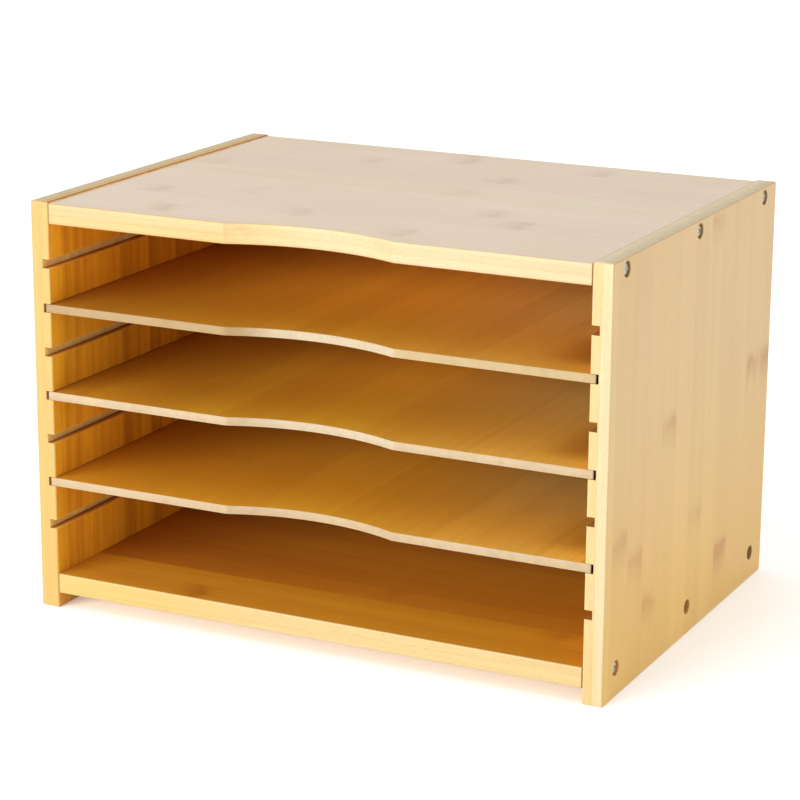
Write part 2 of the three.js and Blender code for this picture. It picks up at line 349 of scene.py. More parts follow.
class Graph:
    """A material's node tree, with a short call for each kind of node that is used here."""

    def __init__(self, name):
        self.material = bpy.data.materials.new(name)
        self.material.use_nodes = True
        self.tree = self.material.node_tree
        self.tree.nodes.clear()
        self.place = self.add("ShaderNodeTexCoord", {}).outputs["Object"]
        split = self.add("ShaderNodeSeparateXYZ", {0: self.place})
        self.axis = dict(zip("xyz", split.outputs))

    def add(self, kind, inputs, **settings):
        """Adds a node. Each input is a value, or another node's output to link to it. A colour has
        three numbers."""
        node = self.tree.nodes.new(kind)
        for name, value in settings.items():
            setattr(node, name, value)
        for name, value in inputs.items():
            if isinstance(value, bpy.types.NodeSocket):
                self.tree.links.new(value, node.inputs[name])
            elif node.inputs[name].type == "RGBA":
                node.inputs[name].default_value = (*value, 1)
            else:
                node.inputs[name].default_value = value
        return node

    def math(self, operation, *values, clamp=False):
        inputs = dict(enumerate(values))
        return self.add("ShaderNodeMath", inputs, operation=operation, use_clamp=clamp).outputs[0]

    def plus(self, *values):
        total = values[0]
        for value in values[1:]:
            total = self.math("ADD", total, value)
        return total

    def times(self, a, b):
        return self.math("MULTIPLY", a, b)

    def around_one(self, value, amount):
        """Turns a value from 0 to 1 into a factor that swings by that amount about 1."""
        return self.math("MULTIPLY_ADD", value, 2 * amount, 1 - amount)

    def vector(self, x, y, z):
        return self.add("ShaderNodeCombineXYZ", {0: x, 1: y, 2: z}).outputs[0]

    def noise(self, vector, detail=2.0, scale=1.0):
        inputs = {"Vector": vector, "Scale": scale, "Detail": detail}
        return self.add("ShaderNodeTexNoise", inputs).outputs["Fac"]

    def chance(self, index, seed):
        """A random value from 0 to 1 that is the same for the same index and seed."""
        number = {"W": self.plus(index, seed)}
        dice = self.add("ShaderNodeTexWhiteNoise", number, noise_dimensions="1D")
        return dice.outputs["Value"]

    def ramp(self, value, stops, interpolation="LINEAR"):
        """Reads a value off a curve of (position, value) stops."""
        ramp = self.add("ShaderNodeValToRGB", {0: value})
        band = ramp.color_ramp
        band.interpolation = interpolation
        while len(band.elements) < len(stops):
            band.elements.new(1)
        for element, (position, shade) in zip(band.elements, stops):
            element.position = position
            element.color = (shade, shade, shade, 1)
        return ramp.outputs[0]

    def window(self, value, low, high):
        """0 at low and 1 at high, with a smooth change between."""
        inputs = {"Value": value, "From Min": low, "From Max": high}
        return self.add("ShaderNodeMapRange", inputs, interpolation_type="SMOOTHSTEP").outputs[0]

    def pick(self, index, values):
        """The value in that place of a list, counted from 0."""
        count = len(values)
        stops = [(i / count, value) for i, value in enumerate(values)]
        place = self.math("MULTIPLY_ADD", index, 1 / count, 0.5 / count)
        return self.ramp(place, stops, "CONSTANT")

    def mix(self, factor, a, b, blend="MIX"):
        inputs = {0: factor, 6: a, 7: b}
        return self.add("ShaderNodeMix", inputs, data_type="RGBA", blend_type=blend).outputs[2]

    def shade(self, color, factor):
        """A colour made lighter or darker by a factor. As in wood, what's darker is also redder."""
        factors = self.vector(*(self.math("POWER", factor, power) for power in SHADE_POWERS))
        inputs = {0: color, 1: factors}
        return self.add("ShaderNodeVectorMath", inputs, operation="MULTIPLY").outputs[0]

    def tint(self, color, strength, tint):
        """A colour multiplied by another, as strongly as that."""
        return self.mix(strength, color, tint, "MULTIPLY")

    def stain(self, color, mask, strength, tint):
        """A colour that is tinted where the mask is 1, and by less where it is less."""
        return self.tint(color, self.times(mask, strength), tint)

    def change(self, color, changes):
        """A colour that turns into others across the object: each is (axis, from, to, colour). The
        other colour can be a (colour, changes) pair that turns into others itself."""
        for letter, start, end, other in changes:
            if len(other) == 2:
                other = self.change(*other)
            color = self.mix(self.window(self.axis[letter], start, end), color, other)
        return color

    def surface(self, color, roughness, height=None, relief=0.0, **inputs):
        """Ends the material with one shiny surface. height raises it by up to that relief."""
        values = {"Base Color": color, "Roughness": roughness}
        values.update({name.replace("_", " "): value for name, value in inputs.items()})
        if height is not None:
            bump = {"Height": height, "Distance": relief, "Strength": 1.0}
            values["Normal"] = self.add("ShaderNodeBump", bump).outputs[0]
        shader = self.add("ShaderNodeBsdfPrincipled", values)
        self.add("ShaderNodeOutputMaterial", {0: shader.outputs[0]})
        return self.material


BENDS_ALONG = 14  # how often fibres bend, per metre along the grain
BENDS_ACROSS = 9
BEND_REACH = 0.0012
BROAD_WIDTH = 0.003
BROAD_LENGTH = 0.16
FINE_WIDTH = 0.00055
FINE_LENGTH = 0.030
FLECK_WIDTH = 0.00032
FLECK_LENGTH = 0.0035
FLECK_LEVELS = (0.62, 0.74)  # of noise, from no fleck to a full one


def fibres(graph, along, across, through, seed, width=BROAD_WIDTH):
    """Bamboo fibre. Returns broad streaks, fine streaks and short dark flecks, each from 0 to 1."""
    waves = graph.vector(graph.times(along, BENDS_ALONG), graph.times(across, BENDS_ACROSS), seed)
    across = graph.plus(across, graph.times(graph.noise(waves, detail=1), BEND_REACH))

    def streaks(width, length, detail, shift):
        down = graph.plus(graph.times(along, 1 / length), seed + shift)
        scaled = graph.vector(graph.times(across, 1 / width), down, graph.times(through, 1 / width))
        return graph.noise(scaled, detail=detail)

    broad = streaks(width, BROAD_LENGTH, detail=3, shift=0)
    fine = streaks(FINE_WIDTH, FINE_LENGTH, detail=2, shift=20)
    flecks = graph.window(streaks(FLECK_WIDTH, FLECK_LENGTH, detail=0, shift=40), *FLECK_LEVELS)
    return broad, fine, flecks


JOINT_SHADE = [(0.0, 0.0), (0.18, 0.25), (0.34, 0.9), (0.42, 1.0), (0.6, 0.6), (1.0, 0.0)]
JOINT_REACH = 0.026  # length of the shadow about a culm joint, along the grain
JOINT_PLACE = 0.38  # where in that shadow the joint itself is
JOINT_WANDER = 0.012  # how far the shadow's outline strays along the grain
JOINT_BLOTCHES = 70  # per metre
JOINT_BLOTCH_LEVELS = (0.1, 0.5)
JOINT_LEAN = 0.8  # how strongly a shadow can lean to one side of its strip
JOINT_SIDES = (-0.05, 0.14)  # where the shadow ends and where it is full, in parts of the strip
JOINT_SPACING = 0.29  # from one culm joint to the next, where they lie at random
STRIP_HUE = 0.5  # how far strips differ in hue
STRIP_BLEND = 0.0008  # width over which a strip's tone turns into the next one's
YELLOWER = (0.99, 1.0, 0.90)
REDDER = (1.02, 0.97, 0.98)
CLOUD_SCALE = 11  # clouds of brightness per metre, across all the strips
CLOUD_SWING = 0.05
FLECK_STAIN = (0.16, (0.62, 0.5, 0.4))  # strength and colour, as for the stains below
GLUE_LINE = (0.00016, 0.00004)  # half the width of a glue line, and of its dark core
GLUE_TINT = (0.4, 0.28, 0.2)
BAMBOO_RELIEF = 0.00006
COAT_ROUGHNESS = 0.22


def culm_joints(graph, below, within, index, seed):
    """The mark that each strip has at a joint of the culm: a soft shadow that leans to one side of
    the strip."""
    centred = graph.plus(within, -0.5)
    blotches = graph.noise(graph.place, detail=1, scale=JOINT_BLOTCHES)
    strayed = graph.plus(below, graph.times(graph.plus(blotches, -0.5), JOINT_WANDER))
    along = graph.math("MULTIPLY_ADD", strayed, 1 / JOINT_REACH, JOINT_PLACE, clamp=True)
    profile = graph.ramp(along, JOINT_SHADE)
    side = graph.chance(index, seed + 5.7)
    lean = graph.math("MULTIPLY_ADD", side, 2 * JOINT_LEAN, -JOINT_LEAN)
    slope = graph.plus(1.0, graph.times(lean, centred))
    inside = graph.window(graph.math("PINGPONG", within, 0.5), *JOINT_SIDES)
    patchy = graph.window(blotches, *JOINT_BLOTCH_LEVELS)
    return graph.times(graph.times(profile, slope), graph.times(inside, patchy))


def bamboo(name, axes, color, strip, seed, offset=0.0, start=0.0, changes=(), joints=(), tones=None,
           spread=0.06, joint=0.5, joint_color=(0.80, 0.65, 0.46), streak=0.07, thread=0.06,
           width=BROAD_WIDTH, roughness=0.42, seam=0.06, coat=0.25, gloss=0.5):
    """Laminated bamboo. axes names the directions along the grain, across the strips and through
    the board. The first strip starts at -offset, and joints are measured from start, against the
    grain's axis. joints has lists of the place and the strength of each strip's culm joint, and
    without any they lie at random. tones has each strip's brightness, beside one that differs at
    random by that spread. streak and thread are how far broad streaks, of that width, and fine ones
    change the brightness, joint and seam how strongly the culm joints and the glue lines show."""
    graph = Graph(name)
    along, across, through = (graph.axis[letter] for letter in axes)
    lane = graph.times(graph.plus(across, offset), 1 / strip)
    index = graph.math("FLOOR", lane)
    within = graph.math("FRACT", lane)
    mark = 0.0
    for row in joints:
        places, strengths = zip(*row)
        below = graph.math("SUBTRACT", graph.pick(index, places), graph.plus(along, start))
        shadow = culm_joints(graph, below, within, index, seed)
        mark = graph.plus(mark, graph.times(shadow, graph.pick(index, strengths)))
    if not joints:
        shift = graph.chance(index, seed + 3.3)
        count = graph.math("SUBTRACT", shift, graph.times(along, 1 / JOINT_SPACING))
        phase = graph.math("FRACT", count)
        below = graph.math("MULTIPLY_ADD", phase, JOINT_SPACING, -JOINT_REACH * JOINT_PLACE)
        shadow = culm_joints(graph, below, within, index, seed)
        mark = graph.times(shadow, graph.chance(index, seed + 7.7))
    broad, fine, flecks = fibres(graph, along, across, through, seed, width)

    soft = graph.window(within, 1 - STRIP_BLEND / strip, 1.0)
    here = graph.chance(index, seed + 0.5)
    beyond = graph.chance(index, seed + 1.5)
    tone = graph.times(here, graph.math("SUBTRACT", 1.0, soft))
    tone = graph.plus(tone, graph.times(beyond, soft))
    color = graph.change(color, changes)
    warmth = graph.times(graph.chance(index, seed + 2.5), STRIP_HUE)
    yellower, redder = graph.tint(color, 1.0, YELLOWER), graph.tint(color, 1.0, REDDER)
    base = graph.mix(warmth, yellower, redder)
    clouds = graph.noise(graph.place, detail=2, scale=CLOUD_SCALE)
    swing = graph.times(graph.around_one(tone, spread), graph.around_one(clouds, CLOUD_SWING))
    if tones:
        swing = graph.times(swing, graph.pick(index, tones))
    swing = graph.times(swing, graph.around_one(broad, streak))
    swing = graph.times(swing, graph.around_one(fine, thread))
    base = graph.shade(base, swing)
    base = graph.stain(base, flecks, *FLECK_STAIN)

    base = graph.stain(base, mark, joint, joint_color)
    from_seam = graph.times(graph.math("PINGPONG", within, 0.5), strip)
    gap = graph.window(from_seam, *GLUE_LINE)
    base = graph.stain(base, gap, seam, GLUE_TINT)

    # Streaks and joints stand up a little, flecks and glue lines lie deeper.
    streaks = graph.plus(graph.times(fine, 0.30), graph.times(broad, 0.20))
    height = graph.plus(streaks, graph.times(flecks, -0.25))
    height = graph.plus(height, graph.times(gap, -0.35), graph.times(mark, 0.25))
    rough = graph.plus(roughness - 0.05, graph.times(fine, 0.10), graph.times(mark, 0.05))
    return graph.surface(
        base, rough, height, BAMBOO_RELIEF, Coat_Weight=coat, Coat_Roughness=COAT_ROUGHNESS,
        Specular_IOR_Level=gloss,
    )


def butt_shadow(graph, base, joint_at, near, far, tint):
    """Darkens the colour where another board butts on, at that distance from the middle plane."""
    away = graph.math("ABSOLUTE", graph.plus(graph.math("ABSOLUTE", graph.axis["x"]), -joint_at))
    return graph.tint(base, graph.window(away, far, near), tint)


EDGE_WAVES = 5  # per metre along the edge
EDGE_WAVE_REACH = 0.0006
EDGE_PATCHES_ALONG = 16  # per metre
EDGE_PATCHES_ACROSS = 110
PATCH_LEVELS = (0.5, 0.75)
PATCH_STAIN = (0.3, (1.0, 0.86, 0.62))
EDGE_FLECK_STAIN = (0.22, (0.6, 0.46, 0.34))
PLY_LINE = (0.00022, 0.00006)
PLY_STAIN = (0.16, (0.55, 0.4, 0.3))
PLY_SWING = 0.06
EDGE_BUTT_SHADOW = (0.0002, 0.0006, (0.42, 0.3, 0.18))
EDGE_RELIEF = 0.00008


def edge_grain(name, axes, color, plies, seed, changes=(), joint_at=None, streak=0.10):
    """The narrow edge of a board: long fine fibres, in layers across its thickness, with warmer
    blotches. plies is a layer's thickness. joint_at is how far from the middle plane another board
    butts against it."""
    graph = Graph(name)
    along, across, through = (graph.axis[letter] for letter in axes)
    broad, fine, flecks = fibres(graph, along, across, through, seed)
    wander = graph.noise(graph.vector(graph.times(along, EDGE_WAVES), seed, 0.0), detail=2)
    lane = graph.times(graph.plus(across, graph.times(wander, EDGE_WAVE_REACH)), 1 / plies)
    index = graph.math("FLOOR", lane)
    tone = graph.chance(index, seed)
    swing = graph.times(graph.around_one(tone, PLY_SWING), graph.around_one(broad, streak))
    swing = graph.times(swing, graph.around_one(fine, streak))
    base = graph.shade(graph.change(color, changes), swing)
    down, over = graph.times(along, EDGE_PATCHES_ALONG), graph.times(across, EDGE_PATCHES_ACROSS)
    patches = graph.noise(graph.vector(down, over, seed), detail=2)
    base = graph.stain(base, graph.window(patches, *PATCH_LEVELS), *PATCH_STAIN)
    base = graph.stain(base, flecks, *EDGE_FLECK_STAIN)
    from_gap = graph.times(graph.math("PINGPONG", graph.math("FRACT", lane), 0.5), plies)
    gap = graph.window(from_gap, *PLY_LINE)
    base = graph.stain(base, gap, *PLY_STAIN)
    if joint_at:
        base = butt_shadow(graph, base, joint_at, *EDGE_BUTT_SHADOW)
    height = graph.plus(graph.times(fine, 0.4), graph.times(broad, 0.2), graph.times(gap, -0.4))
    rough = graph.plus(0.45, graph.times(fine, 0.12))
    return graph.surface(base, rough, height, EDGE_RELIEF, Coat_Weight=0.1, Coat_Roughness=0.3)


DOTS = 1300  # per metre
CLUMPS = 240
SHADES = 35
DOT_SWING = 0.16
CLUMP_SWING = 0.16
END_PLY_SWING = 0.04
SHADE_SWING = 0.08
DOT_LEVELS = (0.6, 0.75)
DOT_STAIN = (0.25, (0.6, 0.46, 0.3))
CLUMP_LEVELS = (0.5, 0.75)
CLUMP_STAIN = (0.35, (1.0, 0.9, 0.74))
END_BUTT_SHADOW = (0.0004, 0.0014, (0.6, 0.42, 0.24))


def end_grain(name, color, plies, seed, changes=(), joint_at=None):
    """The cut ends of bamboo fibres: fine dark dots, denser in some layers than in others. plies
    is (axis, thickness of a layer)."""
    graph = Graph(name)
    letter, layer = plies
    dots = graph.noise(graph.place, detail=1, scale=DOTS)
    clumps = graph.noise(graph.place, detail=2, scale=CLUMPS)
    shades = graph.noise(graph.place, detail=2, scale=SHADES)
    index = graph.math("FLOOR", graph.times(graph.axis[letter], 1 / layer))
    tone = graph.chance(index, seed)
    swing = graph.times(graph.around_one(dots, DOT_SWING), graph.around_one(clumps, CLUMP_SWING))
    ply, shade = graph.around_one(tone, END_PLY_SWING), graph.around_one(shades, SHADE_SWING)
    swing = graph.times(swing, graph.times(ply, shade))
    base = graph.shade(graph.change(color, changes), swing)
    base = graph.stain(base, graph.window(dots, *DOT_LEVELS), *DOT_STAIN)
    base = graph.stain(base, graph.window(clumps, *CLUMP_LEVELS), *CLUMP_STAIN)
    if joint_at:
        base = butt_shadow(graph, base, joint_at, *END_BUTT_SHADOW)
    height = graph.plus(graph.times(dots, 0.5), graph.times(clumps, 0.3))
    rough = graph.plus(0.5, graph.times(dots, 0.1))
    return graph.surface(base, rough, height, BAMBOO_RELIEF)


ZINC = (0.55, 0.51, 0.45)
DULL_ZINC = (0.34, 0.30, 0.24)
TURNING_MARKS = 9000  # per metre out from the screw's axis
MARKS_ALONG = 4000
DULL_SPOTS = 900
DULL_LEVELS = (0.45, 0.75)
ZINC_RELIEF = 0.00001


def zinc(name):
    """Zinc-plated steel, with fine turning marks and a few dull spots."""
    graph = Graph(name)
    from_axis = graph.vector(graph.axis["x"], graph.axis["y"], 0.0)
    radius = graph.add("ShaderNodeVectorMath", {0: from_axis}, operation="LENGTH").outputs["Value"]
    down = graph.times(graph.axis["z"], MARKS_ALONG)
    rings = graph.noise(graph.vector(graph.times(radius, TURNING_MARKS), 0.0, down), detail=1)
    dull = graph.window(graph.noise(graph.place, detail=3, scale=DULL_SPOTS), *DULL_LEVELS)
    color = graph.mix(graph.times(dull, 0.5), ZINC, DULL_ZINC)
    rough = graph.plus(0.26, graph.times(dull, 0.22), graph.times(rings, 0.06))
    height = graph.plus(graph.times(rings, 0.5), graph.times(dull, -0.3))
    return graph.surface(color, rough, height, ZINC_RELIEF, Metallic=1.0)


WHITE = (1, 1, 1)
PAPER = (0.93, 0.93, 0.93)
PAPER_GLOW = 0.2


def paper_white(name):
    """A matt white studio floor, faintly mottled, with a faint glow as of a light table."""
    graph = Graph(name)
    mottle = graph.noise(graph.place, detail=3, scale=3)
    color = graph.shade(PAPER, graph.around_one(mottle, 0.004))
    return graph.surface(color, 0.85, Emission_Color=WHITE, Emission_Strength=PAPER_GLOW)


# Colours as the light that each kind of surface sends back, red, green and blue.
# Painted light: TAN_LOW turns into TAN_HIGH up the sides' outer faces, warmer at the bottom and
# paler at the top.
TAN_LOW = (0.65, 0.375, 0.052)
TAN_HIGH = (0.605, 0.39, 0.15)
TOP_TAN = (0.63, 0.518, 0.432)
YELLOW = (0.457, 0.274, 0.066)
GOLD = (0.475, 0.34, 0.14)
CREAM = (0.487, 0.36, 0.19)
TOP_EDGE_LOW = (0.45, 0.285, 0.098)
TOP_EDGE_HIGH = (0.46, 0.305, 0.128)
# Painted light: TOP_EDGE_PALE lightens the left flank of the top board's scoop, which turns away
# from the lamp.
TOP_EDGE_PALE = (0.485, 0.345, 0.15)
TOP_EDGE_RIGHT = (0.47, 0.345, 0.178)
BOTTOM_EDGE_LEFT = (0.46, 0.325, 0.092)
# Painted light: REAR_EDGE makes the edges that face the back paler than the front edges, whose
# colours are kept darker as the lamp lights the front.
REAR_EDGE = (0.70, 0.47, 0.18)
# AMBER, on the sides' inner faces and the top board's underside, is more saturated than the outer
# faces: painted warm bounce light of the bays. FOOT_AMBER is painted shade where the inner faces
# pass below the bottom board.
AMBER = (0.88, 0.41, 0.02)
FOOT_AMBER = (0.58, 0.26, 0.018)
# The bottom board's top face carries painted light and shade: its two front strips lighter, where
# light falls in under the lowest shelf, the strips behind them darker and redder in that shelf's
# painted shadow, and the back darker towards the left.
FLOOR_ORANGE = (0.58, 0.245, 0.014)
FLOOR_AMBER = (0.555, 0.24, 0.013)
FLOOR_DARK = (0.46, 0.16, 0.010)
FLOOR_RED = (0.52, 0.21, 0.012)
FLOOR_JOINT = (0.7, 0.5, 0.4)
FLOOR_TONES = [0.93, 1.13, 1.0]  # of the strips from the front on, the last for all the others too
TOP_JOINT = (0.80, 0.77, 0.75)
# The shelves' top faces carry painted light and shade: darker and redder at the left, brighter
# towards the back, greyer with painted sheen at the back right, and a painted shadow in the right
# front corner.
SHELF_LEFT = (0.53, 0.225, 0.009)
SHELF_FRONT = (0.57, 0.287, 0.017)
SHELF_RIGHT = (0.64, 0.36, 0.056)
SHELF_DEEP_LEFT = (0.64, 0.26, 0.012)
SHELF_DEEP = (0.82, 0.425, 0.034)
SHELF_DEEP_RIGHT = (0.665, 0.46, 0.15)
SHELF_RIGHT_CORNER_SHADE = (0.40, 0.20, 0.024)
# Each shelf's tones of its painted light and shade: the left's beside the rest, the front's, and
# those further back.
SHELF_TONES = {
    "lower": (1.05, 1.12, 0.86), "middle": (0.94, 1.10, 1.0), "upper": (0.82, 0.89, 1.08),
}
SHELF_EDGE = (0.36, 0.26, 0.145)
SHELF_EDGE_DARK = (0.275, 0.175, 0.068)
SHELF_EDGE_TAN = (0.335, 0.235, 0.105)
# SHELF_EDGE_PALE is a painted highlight along the scoop in a shelf's front edge.
SHELF_EDGE_PALE = (0.37, 0.29, 0.185)
# The grooves' walls: fresh cut bamboo, made paler still by painted light where the groove shades
# them.
FRESH_CUT_AND_PAINTED_LIGHT = (0.98, 0.71, 0.25)
# DARK_CUT is painted shade on the grooves' floors.
DARK_CUT = (0.34, 0.14, 0.04)
# HELD_GROOVE_CUT: the left grooves that hold a shelf, lighter than the painted shade on the empty
# grooves' floors.
HELD_GROOVE_CUT = (0.70, 0.42, 0.13)
# PAINTED_SLIT_SHADE is a painted shadow in the slits beside the shelves' ends: on the shelves' ends
# and in the right grooves that hold a shelf.
PAINTED_SLIT_SHADE = (0.09, 0.035, 0.012)
BORE = (0.55, 0.27, 0.06)
# PAINTED_SHADE_BORE is painted shade in the counterbores of the upper screws and the lower rear
# ones.
PAINTED_SHADE_BORE = (0.34, 0.19, 0.06)
END_PALE = (0.57, 0.45, 0.29)
END_GREY = (0.47, 0.37, 0.20)
END_ORANGE = (0.50, 0.29, 0.09)
BACK_BOARD = (0.66, 0.36, 0.08)

# Where one colour turns into the next, as two places along an axis.
SIDE_RISE = (0.0, 0.17)  # up the sides' outer faces
FOOT_DROP = (0.010, 0.007)  # down the sides' inner faces, where they pass below the bottom board
TOP_EDGE_SCOOP = (-0.049, -0.045)  # where the scoop in the top board starts
TOP_EDGE_MIDDLE = (-0.035, 0.01)
BOTTOM_ACROSS = (-0.13, 0.05)
BOTTOM_EDGE_ACROSS = (-0.12, 0.0)
# Where the shelves' painted light and shade change.
SHELF_FROM_LEFT = (-0.15, 0.02)
SHELF_TO_RIGHT = (0.0, 0.12)
SHELF_TO_BACK = (-0.1, 0.02)
SHELF_DEEP_FROM_LEFT = (-0.13, 0.0)
SHELF_CORNER_ACROSS = (0.112, 0.142)
SHELF_CORNER_IN = (-0.112, -0.09)  # towards the back, into the dark corner
SHELF_CORNER_OUT = (-0.065, -0.03)
SHELF_EDGE_SCOOP = (-0.045, -0.02)
SHELF_EDGE_SCOOP_END = (0.047, 0.051)
BAND_BLEND = 0.0005  # half the width over which one band of colour turns into the next one's
# the painted shade on a groove's floor fades out between these parts of its depth
GROOVE_SHADE_FADE = (0.7, 0.2)  # parts of a groove's depth, where its floor turns as amber as the wall

# Widths of the strips that the boards are glued from. The first strip starts at minus the offset.
OUTER_STRIP = 0.0214
OUTER_STRIP_OFFSET = 0.112 + OUTER_STRIP
BOARD_STRIP = 0.0205
TOP_STRIP = 0.0217
TOP_STRIP_OFFSET = BACK + 0.0117
INNER_STRIP = 0.0098
STRIPS_OUTSIDE = 0.3  # strips are counted from well outside the back panel and the shelves
# Thicknesses of the layers that show in an edge or a cut.
SIDE_LAYER = 0.0055
BOARD_LAYER = 0.0037
SHELF_LAYER = 0.00155
GROOVE_LAYER = 0.004
BORE_LAYER = 0.0015
NO_JOINT = (0.0, 0.0)
# The height and the strength of the culm joint in each strip of the right side, from the front.
RIGHT_JOINTS = [
    NO_JOINT, (0.080, 0.7), (0.066, 0.7), (0.037, 0.8), (0.125, 0.7), NO_JOINT,
    (0.066, 0.4), (0.220, 0.6), (0.034, 1.2), NO_JOINT, (0.130, 0.9), (0.127, 1.0),
]
RIGHT_TONES = [1.02, 1.0, 0.99, 1.01, 0.985, 1.03, 1.0, 1.0, 0.99, 1.01, 0.99, 0.98]
# The culm joints' distances from the left end, and their strengths, in the top board's strips.
TOP_JOINTS = [
    NO_JOINT, (0.198, 0.8), (0.128, 0.7), (0.243, 0.9), (0.220, 0.8), NO_JOINT,
    (0.180, 0.5), NO_JOINT, (0.187, 0.7), (0.095, 0.6), (0.227, 0.9), (0.141, 1.2),
]
TOP_MORE_JOINTS = [
    NO_JOINT, (0.061, 1.0), NO_JOINT, (0.031, 0.8), (0.078, 0.3), NO_JOINT,
    NO_JOINT, (0.018, 0.5), NO_JOINT, NO_JOINT, (0.143, 0.9), NO_JOINT,
]


# ---- Pieces ----


# Places in the lists of materials that side_materials, the boards and the shelves make.
(
    OUTER_FACE, INNER_FACE, FRONT_EDGE, END_EDGE, GROOVE_WALL, GROOVE_FLOOR, CLEAN_BORE, DARK_BORE,
    USED_GROOVE, REAR_EDGE_PLACE,
) = range(10)
BOARD_UPPER, BOARD_LOWER, BOARD_FRONT, BOARD_CUT, BOARD_REAR = range(5)
SHELF_FACE, SHELF_RIM, SHELF_END = range(3)


def side_choice(side):
    """Which of a side's materials a face takes."""
    shelf_levels = [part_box(node)[0].z for node in SHELF_NODES]

    def choose(face):
        centre, normal = face.center, face.normal
        depth = abs(centre.x) - INNER
        across = abs(normal.x) > ALIGNED
        at_rim = abs(centre.y) > BACK - EASE or centre.z < EASE or centre.z > RIGHT_HIGH.z - EASE
        if depth > NEAR and not at_rim and (not across or depth < BOARD - NEAR):
            # painted shade: the counterbores of the upper screws and the lower rear ones take the
            # darker bore colour
            if centre.z > TOP_LOW.z:
                return DARK_BORE
            if centre.z < BOTTOM_HIGH.z:
                return DARK_BORE if centre.y > COUNTERBORE_RADIUS else CLEAN_BORE
            if any(abs(centre.z - level) < GROOVE_PITCH / 4 for level in shelf_levels):
                return USED_GROOVE
            return GROOVE_WALL if across else GROOVE_FLOOR
        if across:
            return OUTER_FACE if normal.x * side > 0 else INNER_FACE
        if abs(normal.z) > abs(normal.y):
            return END_EDGE
        return REAR_EDGE_PLACE if normal.y > 0 else FRONT_EDGE

    return choose


def side_materials(label, side):
    """A side's materials, in the order of the places above."""
    wood, seed = f"bamboo_{label}", 40 if side > 0 else 60
    middle = (INNER + OUTER) / 2
    if side > 0:
        joints, tones, outer_seed = [RIGHT_JOINTS], RIGHT_TONES, 11
        # painted shadow in the slits beside the shelves
        used_groove, groove_changes = PAINTED_SLIT_SHADE, ()
        edge, edge_changes = GOLD, [("x", middle - BAND_BLEND, middle + BAND_BLEND, CREAM)]
        end, end_changes = END_PALE, [("x", INNER, OUTER, END_GREY)]
    else:
        joints, tones, outer_seed = (), None, 23
        used_groove = HELD_GROOVE_CUT
        # the painted shade on the groove floors fades towards their mouths
        shade_from, shade_to = (-INNER - GROOVE_DEPTH * part for part in GROOVE_SHADE_FADE)
        groove_changes = [("x", shade_from, shade_to, AMBER)]
        edge, edge_changes = YELLOW, ()
        end, end_changes = END_GREY, [("x", -middle, -middle + 3 * BAND_BLEND, END_ORANGE)]
    return [
        bamboo(
            f"{wood}_outer", "zyx", TAN_LOW, OUTER_STRIP, outer_seed, OUTER_STRIP_OFFSET,
            # painted light: warmer at the bottom of the outer face, paler at the top
            changes=[("z", *SIDE_RISE, TAN_HIGH)], joints=joints, tones=tones,
            spread=0.02, joint=1.0, streak=0.08, thread=0.02, width=0.008, seam=0.04,
        ),
        bamboo(
            f"{wood}_inner", "zyx", AMBER, INNER_STRIP, seed + 13,
            # painted bounce light in AMBER, and painted shade in FOOT_AMBER below the bottom board
            changes=[("z", *FOOT_DROP, FOOT_AMBER)], spread=0.19, streak=0.44, thread=0.16,
            width=0.0048, joint=0.3, coat=0.0, roughness=0.5,
        ),
        edge_grain(f"{wood}_edge", "zxy", edge, SIDE_LAYER, seed + 5, edge_changes, streak=0.12),
        end_grain(f"{wood}_end", end, ("x", SIDE_LAYER), seed + 6, end_changes, joint_at=INNER),
        edge_grain(f"{wood}_groove", "zyx", FRESH_CUT_AND_PAINTED_LIGHT, GROOVE_LAYER, seed + 7),
        end_grain(f"{wood}_groove_floor", DARK_CUT, ("y", GROOVE_LAYER), seed + 8, groove_changes),
        edge_grain(f"{wood}_bore", "zyx", BORE, BORE_LAYER, seed + 9),
        edge_grain(f"{wood}_dark_bore", "zyx", PAINTED_SHADE_BORE, BORE_LAYER, seed + 10),
        end_grain(f"{wood}_used_groove", used_groove, ("y", GROOVE_LAYER), seed + 11),
        # painted light: paler than the front edge
        edge_grain(f"{wood}_rear_edge", "zxy", REAR_EDGE, SIDE_LAYER, seed + 12),
    ]


def side_panel(side):
    label = "right" if side > 0 else "left"
    node = f"{label}_side_panel"
    low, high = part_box(node)
    outline = rounded_rectangle(FRONT, BACK, low.z, high.z, CORNER_RADIUS, CORNER_STEPS)
    upright = slab(outline, BOARD, EASE, EASE_STEPS, lambda y, z, d: Vector((low.x + d, y, z)))
    piece = add_object(f"{label}_side", upright)
    shelf_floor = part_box("shelf_lower")[0].z - SHELF_LIFT
    lowest = shelf_floor - LOWEST_SHELF_GROOVE * GROOVE_PITCH
    cutters = [shelf_groove(side, lowest + i * GROOVE_PITCH) for i in range(GROOVE_COUNT)]
    cutters.append(side_back_groove(side))
    cutters += [screw_hole(name) for name in screw_nodes(side=label)]
    carve(piece, cutters)
    materials = side_materials(label, side)
    finish_piece(piece, node, "case", materials, side_choice(side))


def butted_board(name, node, outline, cutters, materials):
    """A board between the sides. Its outline is too long, and its ends are cut off square."""
    low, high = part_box(node)
    thickness = high.z - low.z
    long = slab(outline, thickness, EASE, EASE_STEPS, lambda u, v, d: Vector((u, v, low.z + d)))
    piece = add_object(name, long)
    ends = [
        block((high.x, -FAR, -FAR), (FAR, FAR, FAR)),
        block((-FAR, -FAR, -FAR), (low.x, FAR, FAR)),
    ]
    carve(piece, ends + cutters)
    finish_piece(piece, node, "case", materials, board_choice(low, high))


